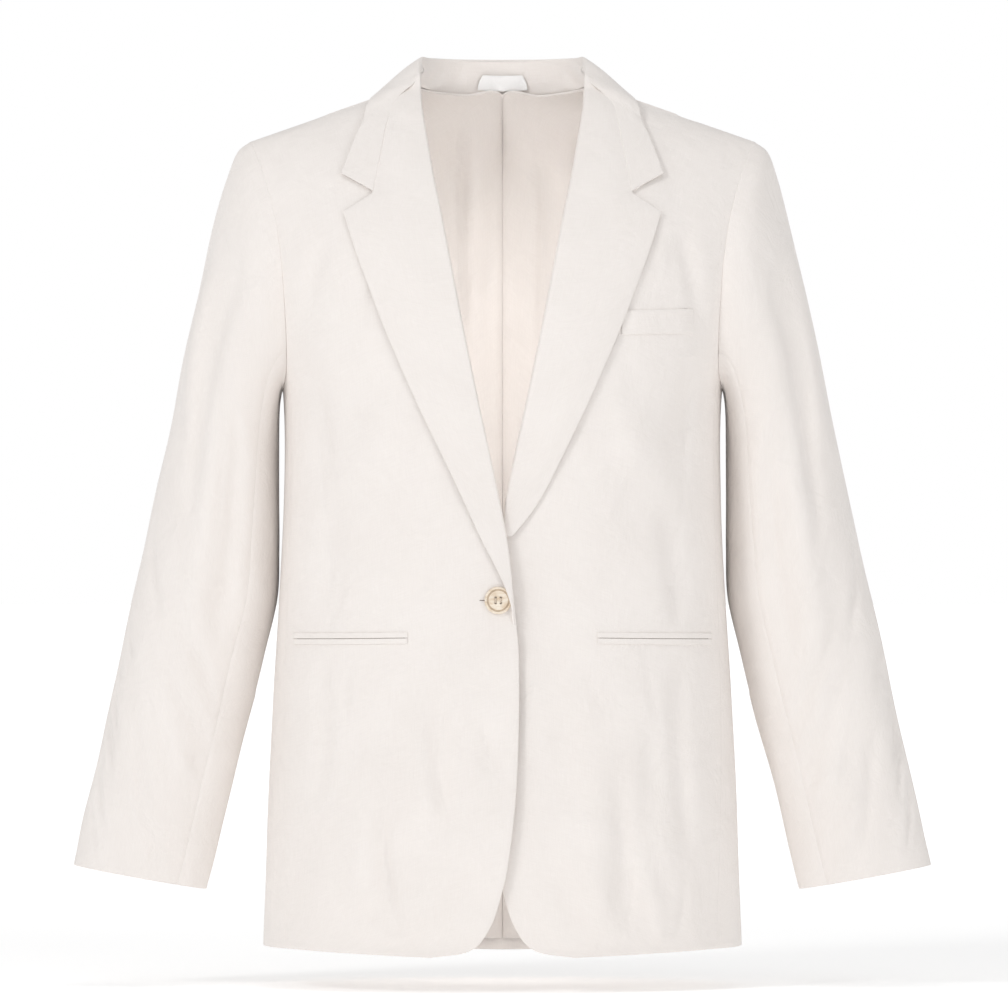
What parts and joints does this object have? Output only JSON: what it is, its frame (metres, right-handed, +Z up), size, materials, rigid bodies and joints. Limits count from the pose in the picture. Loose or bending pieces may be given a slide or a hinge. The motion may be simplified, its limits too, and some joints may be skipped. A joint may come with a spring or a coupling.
{
  "type": "single breasted blazer",
  "caption": "Hip-length single breasted blazer with notched lapels, jetted pockets and a breast welt, filled out as if worn.",
  "frame": {"origin": "middle of the neck base, level with the neck ends of the two shoulder seams less 12 mm, where the wearer's shoulders hold the blazer", "axes": "+Z up the wearer's back, -Y the way the fronts face, +X towards the wearer's left arm"},
  "size_m": [0.7302, 0.2828, 0.7682],
  "materials": {
    "cloth": "matte ivory linen-like weave",
    "lining": "soft pinkish beige lining",
    "label": "smooth white tape, blank",
    "button": "horn-like beige, satin"
  },
  "bodies": {
    "root": {"front_right": "cloth", "side_right": "cloth", "back_right": "cloth", "lapel_right": "cloth", "sleeve_top_right": "cloth", "sleeve_under_right": "cloth", "jet_upper_right": "cloth", "jet_lower_right": "cloth", "lining_back_right": "lining", "hem_turnup_right": "cloth", "front_left": "cloth", "side_left": "cloth", "back_left": "cloth", "lapel_left": "cloth", "sleeve_top_left": "cloth", "sleeve_under_left": "cloth", "jet_upper_left": "cloth", "jet_lower_left": "cloth", "lining_back_left": "lining", "hem_turnup_left": "cloth", "collar_fall": "cloth", "collar_stand": "cloth", "breast_welt": "cloth", "label": "label", "button": "button"}
  },
  "joints": []
}
